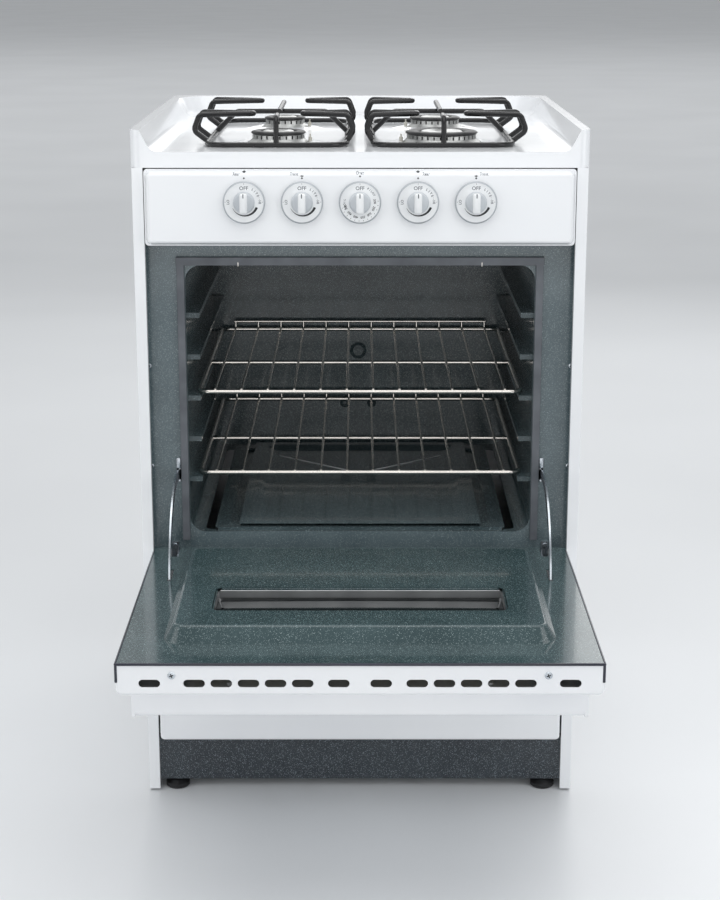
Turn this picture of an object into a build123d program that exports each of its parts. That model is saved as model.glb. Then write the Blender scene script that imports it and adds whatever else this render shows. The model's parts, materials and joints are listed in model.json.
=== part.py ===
from build123d import *
import math
import os

# Freestanding gas range, 24 in wide, with its oven door open. Millimetres, X to the right,
# Y to the back, Z up. The origin is on the floor, under the middle of the whole box.

# ---- Overall sizes ----
overall_width = 609.6  # across the cooktop
body_depth = 640.0  # front flanges of the sides to the back of the rear panel
cook_height = 914.4  # floor to cooking surface
rim_rise = 28.6  # raised rims above the cooking surface

# ---- Sheet steel ----
sheet = 1.2
thin_sheet = 0.9
side_setback = 1.8  # side of the body inboard of the cooktop edge
flange_width = 15.0  # front flange of each side panel
flange_return = 11.0  # its return into the body
frame_recess = 30.0  # oven front frame behind the side flanges
floor_gap = 3.0  # side panels above the floor

# ---- Heights of the front, from the floor up ----
kick_bottom = 13.0
kick_top = 78.0
kick_recess = 12.0
drawer_bottom = 84.0
drawer_height = 236.0
drawer_door_gap = 6.0  # drawer front to the outer face of the open door
panel_height = 102.0
panel_door_gap = 10.0
fascia_height = 21.0
panel_cook_gap = 1.4

# ---- Door ----
door_thickness = 40.0
door_side_gap = 1.0
hinge_inset = 25.0  # inner face of the door to the hinge pin
heel = 8.0  # hinge pin to the bottom edge of the door
seal_gap = 8.0  # closed door to the front frame
plateau_rise = 20.0  # raised middle of the door liner
plateau_slope = 12.0  # run of its sloped sides
plateau_end = 63.0  # its foot to the top edge of the door
plateau_heel = 55.0  # its foot to the bottom edge of the door
plateau_clearance = 1.0  # its foot to the gasket, door closed
window_width = 366.0
window_height = 90.0
window_end = 128.0  # window to the top edge of the door
glass_thickness = 4.0
vent_length = 25.3
vent_width = 9.6
vent_stations = (24.8, 67.0, 98.8, 130.5, 162.3, 194.1, 246.6)
end_screw_station = 220.5
handle_half = 271.0
handle_station = 34.0  # handle axis to the top edge of the door
handle_standoff = 36.0  # outer face of the door to the front of the handle
handle_wall = 4.0
handle_width = 27.0  # up the front of the closed door
handle_lip = 29.0  # top lip, from the front of the handle back to the door
handle_bend = 8.0
post_station = 154.0
post_radius = 7.0

# ---- Hinges ----
arm_side = 14.5  # oven opening to the middle of each arm
arm_thickness = 2.4
arm_radius = 128.0
arm_half_width = 7.0
arm_from = 2.0  # degrees from the door, about the pin
arm_head_from = 108.0
arm_head_to = 112.0
arm_head_half = 13.0
pin_radius = 3.0
pin_clearance = 0.3
slot_side_clearance = 1.8

# ---- Oven ----
oven_side = 65.0  # side of the body to the cavity
oven_corner = 22.0
oven_sill = 48.0  # bottom edge of the closed door to the oven floor
oven_head = 21.0  # cavity top to the top edge of the closed door
oven_back_gap = 120.0
gasket_width = 11.0
gasket_thickness = 7.4
guide_count = 5
guide_first = 80.0  # oven floor to the first rack level
guide_last = 65.0  # last rack level to the oven top
guide_reach = 17.0
guide_height = 7.0
rack_side_gap = 11.0
rack_wire = 3.0
rack_rod = 3.2
rack_front_gap = 25.0
rack_back_gap = 10.0
rack_wires = 12
rack_levels = (0, 2)  # lower and upper rack, as guide numbers
floor_slot_width = 14.0
floor_slot_side = 20.0
insulation_thickness = 45.0

# ---- Control panel and valves ----
panel_proud = 14.0
panel_slope = 9.0
knob_pitch = 76.5
knob_above = 60.0  # knob axis above the bottom of the panel
knob_radius = 28.0
knob_skirt = 3.6
grip_radius = 14.0
grip_width = 10.0
grip_length = 31.0
grip_depth = 18.0
knob_travel = 3.0
knob_panel_gap = 1.4
stem_radius = 4.0
stem_clearance = 0.3
valve_width = 26.0
pipe_radius = 9.5  # manifold
inlet_radius = 10.67  # threaded end, nominal half-inch pipe
inlet_length = 20.0
inlet_collar = 8.0  # length of the collar that the connector seats on
inlet_recess = 2.0  # end of the inlet inside the back of the body

# ---- Cooktop ----
rim_top = 13.0
rim_slope = 15.0
pan_corner = 42.0
pan_fillet = 16.0
burner_inset = 78.0  # grate end to burner centre
burner_hole = 23.0
burner_neck = 19.0
burner_sizes = {"left_front": 37.0, "right_front": 49.0, "left_rear": 30.0, "right_rear": 37.0}
cap_thickness = 4.5
head_height = 15.0

# ---- Grates ----
grate_rod = 3.6
grate_middle_gap = 18.0
grate_side_gap = 69.0
grate_front_gap = 52.0
grate_back_gap = 192.0
grate_top = 40.0  # finger tops above the cooking surface
touch_gap = 0.4  # between pieces that rest on each other and move apart

# ---- Feet and base ----
foot_height = 12.0
foot_radius = 17.0
foot_side = 39.0
foot_front = 20.0
foot_back = 60.0
stud_radius = 5.0
base_height = 30.0
base_lip = 46.0

# ---- Drawer ----
drawer_side_gap = 4.0
drawer_wall = 1.0
runner_width = 6.0
runner_height = 20.0
tray_side = 63.0  # side of the body to the tray
tray_back_gap = 86.0  # tray to the back of the body
tray_wall_height = 196.0

# ---- Derived places ----
body_half = overall_width / 2 - side_setback
inner_half = body_half - sheet
mouth_half = body_half - flange_width
door_half = mouth_half - door_side_gap
panel_half = door_half
body_top = cook_height - fascia_height
panel_top = body_top - panel_cook_gap
panel_bottom = panel_top - panel_height
drawer_top = drawer_bottom + drawer_height
door_face_z = drawer_top + drawer_door_gap  # outer face, door open
door_liner_z = door_face_z + door_thickness  # inner face, door open
hinge_z = door_liner_z - hinge_inset
door_foot_z = hinge_z - heel  # bottom edge, door closed
door_top_z = panel_bottom - panel_door_gap
door_length = door_top_z - door_foot_z
hinge_setback = frame_recess - seal_gap - hinge_inset  # negative: in front of the flanges
door_reach = door_length - heel - hinge_setback
front = (door_reach - body_depth) / 2  # front flanges of the sides
back = front + body_depth
frame_y = front + frame_recess
hinge_y = front + hinge_setback
heel_y = hinge_y + heel
end_y = front - door_reach

oven_half = body_half - oven_side
oven_floor = door_foot_z + oven_sill
oven_top = door_top_z - oven_head
oven_back = back - oven_back_gap
arm_station = oven_half + arm_side
guide_pitch = (oven_top - oven_floor - guide_first - guide_last) / (guide_count - 1)

grate_z = cook_height + touch_gap + grate_rod
grate_half = (overall_width / 2 - rim_top - rim_slope - grate_side_gap - grate_middle_gap) / 2
grate_x = grate_middle_gap + grate_half
grate_front = front + grate_front_gap
grate_back = back - grate_back_gap
burner_y = {"front": grate_front + burner_inset, "rear": grate_back - burner_inset}
burner_places = {
    side + "_" + row: (sign * grate_x, burner_y[row], burner_sizes[side + "_" + row])
    for side, sign in (("left", -1), ("right", 1))
    for row in ("front", "rear")
}
knob_z = panel_bottom + knob_above
panel_face = front - panel_proud
knob_back = panel_face - knob_travel - knob_panel_gap
knob_places = [knob_pitch * (i - 2) for i in range(5)]
tray_half = body_half - tray_side

os.makedirs("parts", exist_ok=True)


# ---- Shared shapes ----
def block(x0, x1, y0, y1, z0, z1, corner=0.0, mode=Mode.ADD):
    """Adds a block between two corners, with its upright edges rounded."""
    with BuildSketch(Plane.XY.offset(z0)) as outline:
        with Locations(((x0 + x1) / 2, (y0 + y1) / 2)):
            if corner:
                RectangleRounded(x1 - x0, y1 - y0, corner)
            else:
                Rectangle(x1 - x0, y1 - y0)
    extrude(outline.sketch, amount=z1 - z0, mode=mode)


def plate(x0, x1, z0, z1, y0, y1, corner=0.0, mode=Mode.ADD, taper=0.0):
    """Adds a plate that faces the front, with the corners of its outline rounded."""
    with BuildSketch(Plane.XZ.offset(-y1)) as outline:
        with Locations(((x0 + x1) / 2, (z0 + z1) / 2)):
            if corner:
                RectangleRounded(x1 - x0, z1 - z0, corner)
            else:
                Rectangle(x1 - x0, z1 - z0)
    extrude(outline.sketch, amount=y1 - y0, mode=mode, taper=taper)


def bar(start, end, radius, mode=Mode.ADD):
    """Adds a round bar from one point to another."""
    start = Vector(start)
    run = Vector(end) - start
    with BuildSketch(Plane(origin=start, z_dir=run)) as section:
        Circle(radius)
    extrude(section.sketch, amount=run.length, mode=mode)


def bent_rod(points, bends, radius):
    """Adds a rod bent round the corners of a route."""
    with BuildLine() as route:
        FilletPolyline(*points, radius=bends)
    with BuildSketch(Plane(origin=route.line @ 0, z_dir=route.line % 0)) as section:
        Circle(radius)
    sweep(section.sketch, path=route.line)


def turned(centre, profile):
    """Adds a shape turned about an upright axis, from radius and height pairs."""
    with BuildSketch(Plane.XZ.offset(-centre[1])) as section:
        with BuildLine() as outline:
            Polyline(*[(centre[0] + r, z) for r, z in profile], close=True)
        make_face(outline.line)
    revolve(section.sketch, axis=Axis((centre[0], centre[1], 0), (0, 0, 1)))


def save(piece, name):
    """Labels a finished piece and writes it."""
    piece.part.label = name
    export_step(piece.part, "parts/" + name + ".step")


# ---- Body shell ----
for side, name in ((-1, "side_panel_left"), (1, "side_panel_right")):
    with BuildPart() as side_panel:
        span = sorted((side * inner_half, side * body_half))
        block(*span, front, back, floor_gap, body_top)
        span = sorted((side * mouth_half, side * body_half))
        block(*span, front, front + sheet, floor_gap, body_top)
        span = sorted((side * mouth_half, side * (mouth_half + sheet)))
        block(*span, front, front + flange_return, floor_gap, body_top)
        span = sorted((side * (body_half - 20), side * body_half))
        block(*span, back - sheet, back, floor_gap, body_top)
        outer = side_panel.edges().filter_by(Axis.Z).sort_by(Axis.X)
        outer = outer[:2] if side < 0 else outer[-2:]
        fillet(outer, sheet * 0.9)
    save(side_panel, name)

inlet_x = body_half - 45
inlet_z = panel_bottom + knob_above
with BuildPart() as rear_panel:
    rear_y = back - 2 * sheet
    plate(-inner_half, inner_half, floor_gap + 60, body_top, rear_y, back - sheet)
    plate(inlet_x - 25, inlet_x + 25, inlet_z - 25, inlet_z + 25, rear_y, back, 12, Mode.SUBTRACT)
    for row in range(4):
        for column in range(-2, 3):
            vent_z = body_top - 110 - row * 18
            plate(column * 90 - 35, column * 90 + 35, vent_z, vent_z + 6, rear_y, back, 2.9,
                  Mode.SUBTRACT)
save(rear_panel, "rear_panel")

base_z = foot_height + 2
foot_places = [
    (side * (body_half - foot_side), y)
    for side in (-1, 1)
    for y in (front + foot_front, back - foot_back)
]
with BuildPart() as base_frame:
    base_front = front + kick_recess + sheet
    base_back = back - 2 * sheet
    block(-inner_half, inner_half, base_front, base_back, base_z, base_z + base_height)
    block(-inner_half + 1.5, inner_half - 1.5, base_front + 1.5, base_back - 1.5,
          base_z + 1.5, base_z + base_height, 0, Mode.SUBTRACT)
    block(-inner_half + base_lip, inner_half - base_lip, base_front + base_lip,
          base_back - base_lip, base_z - 1, base_z + 2, 0, Mode.SUBTRACT)
    for x, y in foot_places:
        bar((x, y, base_z), (x, y, base_z + 8), stud_radius + 1.6)
        bar((x, y, base_z - 1), (x, y, base_z + 9), stud_radius + 0.3, Mode.SUBTRACT)
save(base_frame, "base_frame")

for (x, y), name in zip(foot_places, ("left_front", "left_rear", "right_front", "right_rear")):
    with BuildPart() as foot:
        turned((x, y), [(0, 0), (foot_radius - 2, 0), (foot_radius, 2), (foot_radius, 7),
                        (foot_radius - 3, 9), (9, foot_height - 0.5), (0, foot_height - 0.5)])
        bar((x, y, foot_height - 1), (x, y, foot_height + 24), stud_radius)
    save(foot, "foot_" + name)

kick_y = front + kick_recess
with BuildPart() as toe_kick:
    plate(-inner_half, inner_half, kick_bottom, kick_top, kick_y, kick_y + sheet)
    block(-inner_half, inner_half, kick_y, kick_y + 14, kick_top - sheet, kick_top)
save(toe_kick, "toe_kick_panel")

# ---- Oven front frame, liner and insulation ----
arm_inner = arm_station - arm_thickness / 2
arm_outer = arm_station + arm_thickness / 2
slot_low = hinge_z + math.sqrt((arm_radius - arm_half_width) ** 2
                               - (frame_y + sheet - hinge_y) ** 2) - 3
slot_high = hinge_z + math.sqrt((arm_radius + arm_half_width) ** 2
                                - (frame_y - hinge_y) ** 2) + 3
frame_bottom = door_face_z - 1
frame_top = panel_bottom + 10
bracket_screw_z = hinge_z + 20
bracket_screw_x = arm_station + 8.0
with BuildPart() as front_frame:
    plate(-inner_half, inner_half, frame_bottom, frame_top, frame_y, frame_y + sheet)
    for z0 in (frame_bottom, frame_top - sheet):
        block(-inner_half, inner_half, frame_y, frame_y + 18, z0, z0 + sheet)
    plate(-oven_half, oven_half, oven_floor, oven_top, frame_y - 1, frame_y + 20, oven_corner,
          Mode.SUBTRACT)
    for side in (-1, 1):
        span = sorted((side * (arm_inner - slot_side_clearance),
                       side * (arm_outer + slot_side_clearance)))
        plate(*span, slot_low, slot_high, frame_y - 1, frame_y + 2, 2.5, Mode.SUBTRACT)
        bar((side * bracket_screw_x, frame_y - 1, bracket_screw_z),
            (side * bracket_screw_x, frame_y + 3, bracket_screw_z), 2.0, Mode.SUBTRACT)
save(front_frame, "oven_front_frame")

liner_front = frame_y + sheet
with BuildPart() as oven_liner:
    plate(-oven_half - sheet, oven_half + sheet, oven_floor - sheet, oven_top + sheet,
          liner_front, oven_back + sheet, oven_corner + sheet)
    plate(-oven_half, oven_half, oven_floor, oven_top, liner_front - 1, oven_back,
          oven_corner, Mode.SUBTRACT)
    block(-oven_half + floor_slot_side, oven_half - floor_slot_side, liner_front + 12,
          oven_back - 32, oven_floor - 3, oven_floor + 1, 10, Mode.SUBTRACT)
    plate(-60, 60, oven_top - 34, oven_top - 22, oven_back - 1, oven_back + 3, 5.5,
          Mode.SUBTRACT)
    for level in range(guide_count):
        guide_z = oven_floor + guide_first + level * guide_pitch - rack_rod - touch_gap
        for side in (-1, 1):
            reach = sorted((side * (oven_half - guide_reach), side * (oven_half + 0.2)))
            with BuildSketch(Plane.XY.offset(guide_z - guide_height)) as guide:
                with Locations((sum(reach) / 2, (liner_front + 14 + oven_back - 6) / 2)):
                    Rectangle(reach[1] - reach[0], oven_back - 6 - liner_front - 14)
            extrude(guide.sketch, amount=guide_height)
save(oven_liner, "oven_liner")

with BuildPart() as floor_panel:
    half = oven_half - floor_slot_side - floor_slot_width
    floor_front = liner_front + 3
    floor_back = oven_back - 22
    block(-half, half, floor_front, floor_back, oven_floor + 0.2, oven_floor + 5.2, 8)
    block(-half + 20, half - 20, floor_front + 22, floor_back - 22, oven_floor + 1.4,
          oven_floor + 6, 14, Mode.SUBTRACT)
    block(-half + 1, half - 1, floor_front + 1, floor_front + 21, oven_floor, oven_floor + 4,
          0, Mode.SUBTRACT)
save(floor_panel, "oven_floor_panel")

pocket_inner = arm_inner - 3.1
pocket_outer = arm_outer + 3.1
pocket_low = hinge_z - 46
pocket_high = slot_high + 6
pocket_back = hinge_y + arm_radius + arm_head_half + 5
insulation_half = oven_half + insulation_thickness
with BuildPart() as insulation:
    block(-insulation_half, insulation_half, liner_front + 2, oven_back + insulation_thickness,
          oven_floor - 20, frame_top - sheet - 4)
    plate(-oven_half - sheet, oven_half + sheet, oven_floor - sheet, oven_top + sheet,
          liner_front, oven_back + sheet, oven_corner + sheet, Mode.SUBTRACT)
    block(-oven_half - sheet, oven_half + sheet, liner_front, oven_back + sheet,
          oven_floor - 30, oven_floor + oven_corner, 0, Mode.SUBTRACT)
    for side in (-1, 1):
        span = sorted((side * (pocket_inner - thin_sheet), side * (pocket_outer + thin_sheet)))
        block(*span, liner_front, pocket_back + thin_sheet, oven_floor - 30,
              pocket_high + thin_sheet, 0, Mode.SUBTRACT)
save(insulation, "oven_insulation")

with BuildPart() as hinge_pockets:
    for side in (-1, 1):
        span = sorted((side * (pocket_inner - thin_sheet), side * (pocket_outer + thin_sheet)))
        block(*span, liner_front, pocket_back + thin_sheet, pocket_low, pocket_high + thin_sheet)
        span = sorted((side * pocket_inner, side * pocket_outer))
        block(*span, liner_front - 1, pocket_back, pocket_low - 1, pocket_high, 0, Mode.SUBTRACT)
    block(-inner_half, inner_half, liner_front, liner_front + 20, pocket_low, frame_bottom + sheet,
          0, Mode.SUBTRACT)
save(hinge_pockets, "hinge_pockets")

# ---- Burner compartment under the oven, and its burner ----
box_z = frame_bottom + 6
with BuildPart() as burner_box:
    block(-oven_half, oven_half, liner_front, oven_back, box_z, oven_floor - sheet)
    block(-oven_half + thin_sheet, oven_half - thin_sheet, liner_front + thin_sheet,
          oven_back - thin_sheet, box_z + thin_sheet, oven_floor, 0, Mode.SUBTRACT)
save(burner_box, "lower_burner_box")

with BuildPart() as oven_burner:
    bar((0, liner_front + 20, box_z + 24), (0, oven_back - 60, box_z + 24), 14)
    bar((0, liner_front + 19, box_z + 24), (0, oven_back - 62, box_z + 24), 12.6, Mode.SUBTRACT)
    for y in (liner_front + 60, oven_back - 90):
        block(-20, 20, y, y + 20, box_z + thin_sheet, box_z + 11.5)
save(oven_burner, "oven_burner")

with BuildPart() as bulb:
    bulb_x = oven_half - 40
    bulb_z = oven_top - 22
    bar((bulb_x, oven_back - 200, bulb_z), (bulb_x, oven_back, bulb_z), 3)
save(bulb, "thermostat_bulb")

gasket_foot = oven_floor - 10
gasket_inner = oven_half + 0.5
with BuildPart() as gasket:
    g0 = gasket_inner
    g1 = g0 + gasket_width
    g_top = oven_top + 0.5
    plate(-g1, g1, g_top, g_top + gasket_width, frame_y - gasket_thickness, frame_y)
    for side in (-1, 1):
        span = sorted((side * g0, side * (g1 - 1.0)))
        plate(*span, gasket_foot, g_top, frame_y - gasket_thickness, frame_y)
save(gasket, "door_gasket")

# ---- Cooktop ----
def pan_pocket(inset):
    """The space inside the rims, open at the front, its floor edge rounded."""
    pan_half = overall_width / 2 - rim_top - rim_slope + inset
    pan_back = back - rim_top - rim_slope + inset
    angle = math.degrees(math.atan2(rim_slope, rim_rise))
    with BuildPart() as pocket:
        with BuildSketch(Plane.XY.offset(cook_height - inset)) as floor:
            with Locations((0, (front - 300 + pan_back) / 2)):
                RectangleRounded(2 * pan_half, pan_back - front + 300, pan_corner)
        extrude(amount=rim_rise + 5, taper=-angle)
        fillet(pocket.faces().sort_by(Axis.Z)[0].edges(), pan_fillet + inset)
    return pocket.part


def cooktop_form(inset, pocket):
    """Adds the outer form of the cooktop, moved inward by a wall thickness."""
    half = overall_width / 2 - inset
    block(-half, half, front + inset, back - inset, body_top, cook_height + rim_rise - inset,
          14 - inset)
    add(pocket, mode=Mode.SUBTRACT)


outer_pocket = pan_pocket(0)
inner_pocket = pan_pocket(sheet)
with BuildPart() as cooktop_void:
    cooktop_form(sheet, inner_pocket)
with BuildPart() as cooktop:
    cooktop_form(0, outer_pocket)
    add(cooktop_void.part, mode=Mode.SUBTRACT)
    for x, y, size in burner_places.values():
        bar((x, y, body_top), (x, y, cook_height + 5), burner_hole, Mode.SUBTRACT)
        turn = 1 if x > 0 else -1
        bar((x - turn * (size + 7), y, body_top), (x - turn * (size + 7), y, cook_height + 5),
            4.0, Mode.SUBTRACT)
save(cooktop, "cooktop")

# ---- Burners ----
rail_z = cook_height - 47
seat_z = cook_height + 0.2
with BuildPart() as heads:
    for x, y, size in burner_places.values():
        turned((x, y), [(0, rail_z + 2), (burner_neck, rail_z + 2), (burner_neck, seat_z),
                        (size + 3, seat_z), (size + 3, seat_z + 2.5), (size, seat_z + 4),
                        (size - 1.5, seat_z + 5), (size - 1.5, seat_z + 11),
                        (size - 2.5, seat_z + 12), (size * 0.60, seat_z + 12),
                        (size * 0.55, seat_z + head_height + 1),
                        (size * 0.34, seat_z + head_height + 2),
                        (0, seat_z + head_height - 2)])
save(heads, "burner_heads")
cap_z = seat_z + 12 + touch_gap
for name, (x, y, size) in burner_places.items():
    with BuildPart() as cap:
        turned((x, y), [(size * 0.64, cap_z), (size + 0.5, cap_z), (size + 1, cap_z + 2),
                        (size - 2, cap_z + cap_thickness - 0.6),
                        (size * 0.80, cap_z + cap_thickness),
                        (size * 0.64, cap_z + cap_thickness - 1)])
    save(cap, "burner_cap_" + name)

with BuildPart() as igniters:
    for x, y, size in burner_places.values():
        turn = 1 if x > 0 else -1
        at = x - turn * (size + 7)
        bar((at, y, rail_z + 2), (at, y, cook_height + 8), 2.6)
        bar((at, y, cook_height + 8), (at, y, cook_height + 12), 1.0)
save(igniters, "spark_igniters")

with BuildPart() as burner_rails:
    for y in burner_y.values():
        block(-inner_half, inner_half, y - 30, y + 30, rail_z, rail_z + 2)
        for from_burner in (-30, 28.5):
            flange_y = y + from_burner
            block(-inner_half, inner_half, flange_y, flange_y + 1.5, rail_z - 6, rail_z)
save(burner_rails, "burner_rails")

# ---- Grates ----
def hairpin(x, y, side, bulge):
    """Adds one bent finger that rises from the side bar and points at the burner."""
    high = cook_height + grate_top
    foot = grate_half
    tip = 34
    points = [
        (foot, -30, grate_z),
        (foot + bulge, -30, grate_z + 15),
        (foot + bulge - 8, -27, high),
        (tip, -5.5, high),
        (tip, 5.5, high),
        (foot + bulge - 8, 27, high),
        (foot + bulge, 30, grate_z + 15),
        (foot, 30, grate_z),
    ]
    places = [(x + side * px, y + py, pz) for px, py, pz in points]
    bent_rod(places, (8, 7, 5, 5, 7, 8), grate_rod)


with BuildPart() as grate_left:
    side = -1
    x = side * grate_x
    x0 = x - grate_half
    x1 = x + grate_half
    high = cook_height + grate_top
    middle = (grate_front + grate_back) / 2
    with BuildLine() as ring:
        FilletPolyline((x0, grate_front, grate_z), (x1, grate_front, grate_z),
                       (x1, grate_back, grate_z), (x0, grate_back, grate_z),
                       radius=30, close=True)
    start = ring.line.edges().sort_by(Axis.Y)[0] @ 0.5
    with BuildSketch(Plane(origin=start, z_dir=(1, 0, 0))) as ring_section:
        Circle(grate_rod)
    sweep(ring_section.sketch, path=Wire(ring.edges()))
    for y in burner_y.values():
        hairpin(x, y, side, 20)
        hairpin(x, y, -side, 9)
    bent_rod([(x, grate_front, grate_z), (x, grate_front + 4, high),
              (x, burner_y["front"] - 34, high)], (9,), grate_rod)
    bent_rod([(x, grate_back, grate_z), (x, grate_back - 4, high),
              (x, burner_y["rear"] + 34, high)], (9,), grate_rod)
    bent_rod([(x0, middle, grate_z), (x0 + 30, middle, high - 6.5),
              (x1 - 30, middle, high - 6.5), (x1, middle, grate_z)], (12, 12), grate_rod)
    bar((x, burner_y["front"] + 34, high), (x, burner_y["rear"] - 34, high), grate_rod)
save(grate_left, "grate_left")
with BuildPart() as grate_right:
    mirror(grate_left.part, about=Plane.YZ)
save(grate_right, "grate_right")

# ---- Control panel, manifold, valves and knobs ----
with BuildPart() as control_panel:
    plate(-panel_half, panel_half, panel_bottom, panel_top, front, front + 2, 5)
    with BuildSketch(Plane.XZ.offset(-front)) as face:
        with Locations((0, (panel_bottom + panel_top) / 2)):
            RectangleRounded(2 * panel_half - 2, panel_height - 2, 9)
    extrude(face.sketch, amount=panel_proud, taper=math.degrees(math.atan2(panel_slope / 2,
                                                                         panel_proud)))
    rim = control_panel.faces().sort_by(Axis.Y)[0].edges()
    fillet(rim, 4.0)
    plate(-panel_half + 6, panel_half - 6, panel_bottom + 6, panel_top - 6, panel_face + sheet + 4,
          front + 3, 8, Mode.SUBTRACT)
    plate(-panel_half + 11, panel_half - 11, panel_bottom + 11, panel_top - 11,
          panel_face + sheet, panel_face + sheet + 5, 6, Mode.SUBTRACT)
    for x in knob_places:
        bar((x, panel_face - 1, knob_z), (x, panel_face + 4, knob_z), stem_radius + 2,
            Mode.SUBTRACT)
save(control_panel, "control_panel")

valve_front = front + 6
valve_back = valve_front + 28
manifold_y = valve_back + pipe_radius
stem_back = valve_front + 12
manifold_end = knob_places[0] - 24
with BuildPart() as manifold:
    inlet_end = back - inlet_recess
    collar_end = inlet_end - inlet_length
    bent_rod([(manifold_end, manifold_y, knob_z), (inlet_x, manifold_y, knob_z),
              (inlet_x, collar_end - 1, knob_z)], [24], pipe_radius)
    bar((inlet_x, collar_end - inlet_collar, knob_z), (inlet_x, collar_end, knob_z),
        inlet_radius + 3)
    bar((inlet_x, collar_end, knob_z), (inlet_x, inlet_end, knob_z), inlet_radius)
save(manifold, "gas_manifold")

with BuildPart() as valves:
    for x in knob_places:
        block(x - valve_width / 2, x + valve_width / 2, valve_front, valve_back,
              knob_z - 12, knob_z + 12, 4)
        bar((x, valve_front - 1, knob_z), (x, stem_back + knob_travel + 1, knob_z),
            stem_radius + stem_clearance, Mode.SUBTRACT)
save(valves, "gas_valves")

tube_radius = 4.0
jet_gap = 0.3  # end of each tube to the neck of its burner
jet_run = 26.0  # straight end of each tube
tube_z = cook_height - 38
tube_start = valve_front + 20
tube_lane = burner_neck + 14  # tube axis to the axis of the burner that it passes
tube_routes = zip((knob_places[0], knob_places[1], knob_places[3], knob_places[4]),
                  ("left_rear", "left_front", "right_rear", "right_front"))
with BuildPart() as tubes:
    for valve_x, name in tube_routes:
        burner_x, y, size = burner_places[name]
        outward = 1 if burner_x > 0 else -1
        outer = outward if abs(valve_x) > abs(burner_x) else -outward
        route = [(valve_x, tube_start, knob_z + 12), (valve_x, tube_start, tube_z)]
        if name.endswith("rear"):
            route.append((burner_x + outer * tube_lane, burner_y["front"], tube_z))
        jet_y = y - burner_neck - jet_gap
        route += [(burner_x, jet_y - jet_run, tube_z), (burner_x, jet_y, tube_z)]
        bent_rod(route, [10] * (len(route) - 2), tube_radius)
save(tubes, "burner_supply_tubes")

stem_front = knob_back - knob_skirt - grip_depth + 5
for i, x in enumerate(knob_places):
    with BuildPart() as stem:
        bar((x, stem_front, knob_z), (x, stem_back, knob_z), stem_radius)
        block(x - stem_radius, x + stem_radius, stem_front - 1, stem_front + 12,
              knob_z + stem_radius - 1.2, knob_z + stem_radius + 1, 0, Mode.SUBTRACT)
    save(stem, "valve_stem_" + str(i + 1))
    with BuildPart() as knob:
        bar((x, knob_back, knob_z), (x, knob_back - knob_skirt, knob_z), knob_radius)
        fillet(knob.edges().group_by(Axis.Y)[0], 1.2)
        with BuildSketch(Plane.XZ.offset(-(knob_back - knob_skirt + 0.5))) as barrel:
            with Locations((x, knob_z)):
                Circle(grip_radius)
        extrude(barrel.sketch, amount=6.5, taper=8)
        with BuildSketch(Plane.XZ.offset(-(knob_back - knob_skirt + 0.5))) as blade:
            with Locations((x, knob_z)):
                RectangleRounded(grip_width, grip_length, 3.5)
        extrude(blade.sketch, amount=grip_depth + 0.5, taper=4)
        fillet(knob.faces().sort_by(Axis.Y)[0].edges(), 1.5)
        bar((x, knob_back + 1, knob_z), (x, stem_front - 0.5, knob_z),
            stem_radius + stem_clearance, Mode.SUBTRACT)
    save(knob, "knob_" + str(i + 1))

# ---- Oven racks ----
rack_half = oven_half - rack_side_gap
rack_front = frame_y + rack_front_gap
rack_back = oven_back - rack_back_gap
for level, name in zip(rack_levels, ("rack_lower", "rack_upper")):
    z = oven_floor + guide_first + level * guide_pitch
    rail = rack_half - rack_rod
    with BuildPart() as rack:
        with BuildLine() as loop:
            FilletPolyline((-rail, rack_front, z), (rail, rack_front, z), (rail, rack_back, z),
                           (-rail, rack_back, z), radius=14, close=True)
        start = loop.line.edges().sort_by(Axis.Y)[0] @ 0.5
        with BuildSketch(Plane(origin=start, z_dir=(1, 0, 0))) as loop_section:
            Circle(rack_rod)
        sweep(loop_section.sketch, path=Wire(loop.edges()))
        bar((-rail, rack_front + 195, z), (rail, rack_front + 195, z), rack_wire)
        wire_step = 2 * (rail - 22) / (rack_wires - 1)
        for i in range(rack_wires):
            x = -rail + 22 + i * wire_step
            bent_rod([(x, rack_front - 1, z + 2.5), (x, rack_back - 3, z + 2.5),
                      (x, rack_back - 1, z + 14)], (1.8,), 1.7)
        bar((-rail + 20, rack_back - 1, z + 13), (rail - 20, rack_back - 1, z + 13), 2.2)
    save(rack, name)

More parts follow.
